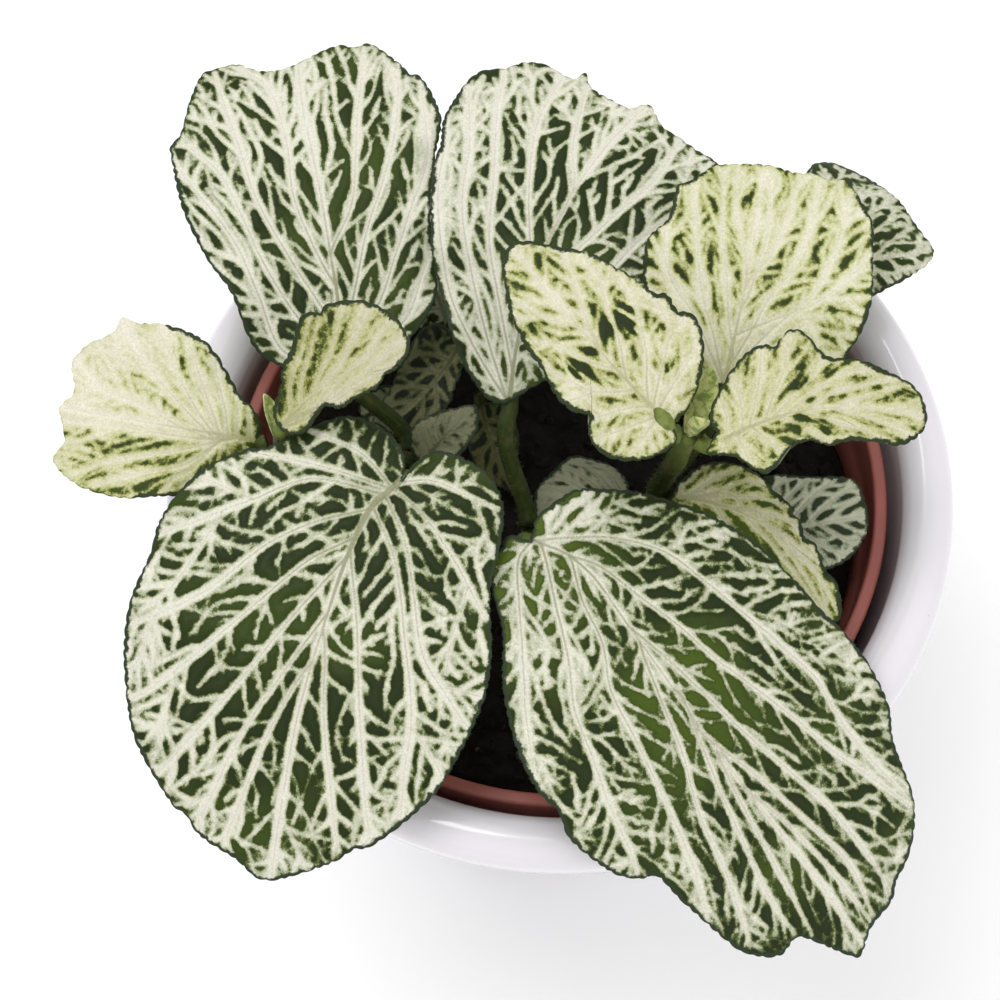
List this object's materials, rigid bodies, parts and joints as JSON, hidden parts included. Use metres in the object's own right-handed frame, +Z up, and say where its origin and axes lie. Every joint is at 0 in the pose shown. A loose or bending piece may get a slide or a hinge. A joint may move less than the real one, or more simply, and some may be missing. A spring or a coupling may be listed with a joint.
{
  "type": "potted nerve plant",
  "caption": "Small foliage plant with white-veined oval leaves in a plastic nursery pot inside a round glazed cover pot.",
  "frame": {"origin": "centre of the cover pot's flat underside, on the surface it stands on", "axes": "+Z up; -Y towards the side the picture was taken from, +X to its right"},
  "size_m": [0.1198, 0.1215, 0.1322],
  "materials": {
    "cover_pot": "white gloss glaze",
    "nursery_pot": "satin moulded plastic, brick red",
    "soil": "damp crumbly peat potting soil",
    "stem": "soft hairy green stem",
    "dark_leaf": "soft dull dark green leaf with a white net of veins",
    "pale_leaf": "soft dull cream leaf with green flecks and margin"
  },
  "bodies": {
    "root": {"cover_pot": "cover_pot", "nursery_pot": "nursery_pot", "soil": "soil", "stem_left": "stem", "stem_middle": "stem", "stem_right": "stem", "stem_back_left": "stem", "stem_back_right": "stem", "leaf_front_left": "dark_leaf", "leaf_front_right": "dark_leaf", "leaf_back_left": "dark_leaf", "leaf_back_middle": "dark_leaf", "leaf_back_right": "pale_leaf", "leaf_far_right": "dark_leaf", "leaf_tip_left": "pale_leaf", "leaf_tip_right": "pale_leaf", "leaf_pale_left": "pale_leaf", "leaf_pale_middle": "pale_leaf", "leaf_low_right": "pale_leaf", "leaf_inner_right": "dark_leaf", "leaf_shade_left": "dark_leaf", "leaf_shade_middle": "dark_leaf", "leaf_shade_pale": "pale_leaf", "leaf_inner_middle": "pale_leaf", "leaf_shade_side": "dark_leaf", "leaf_under_left": "dark_leaf", "leaf_under_middle": "dark_leaf", "leaf_under_right": "dark_leaf"}
  },
  "joints": []
}
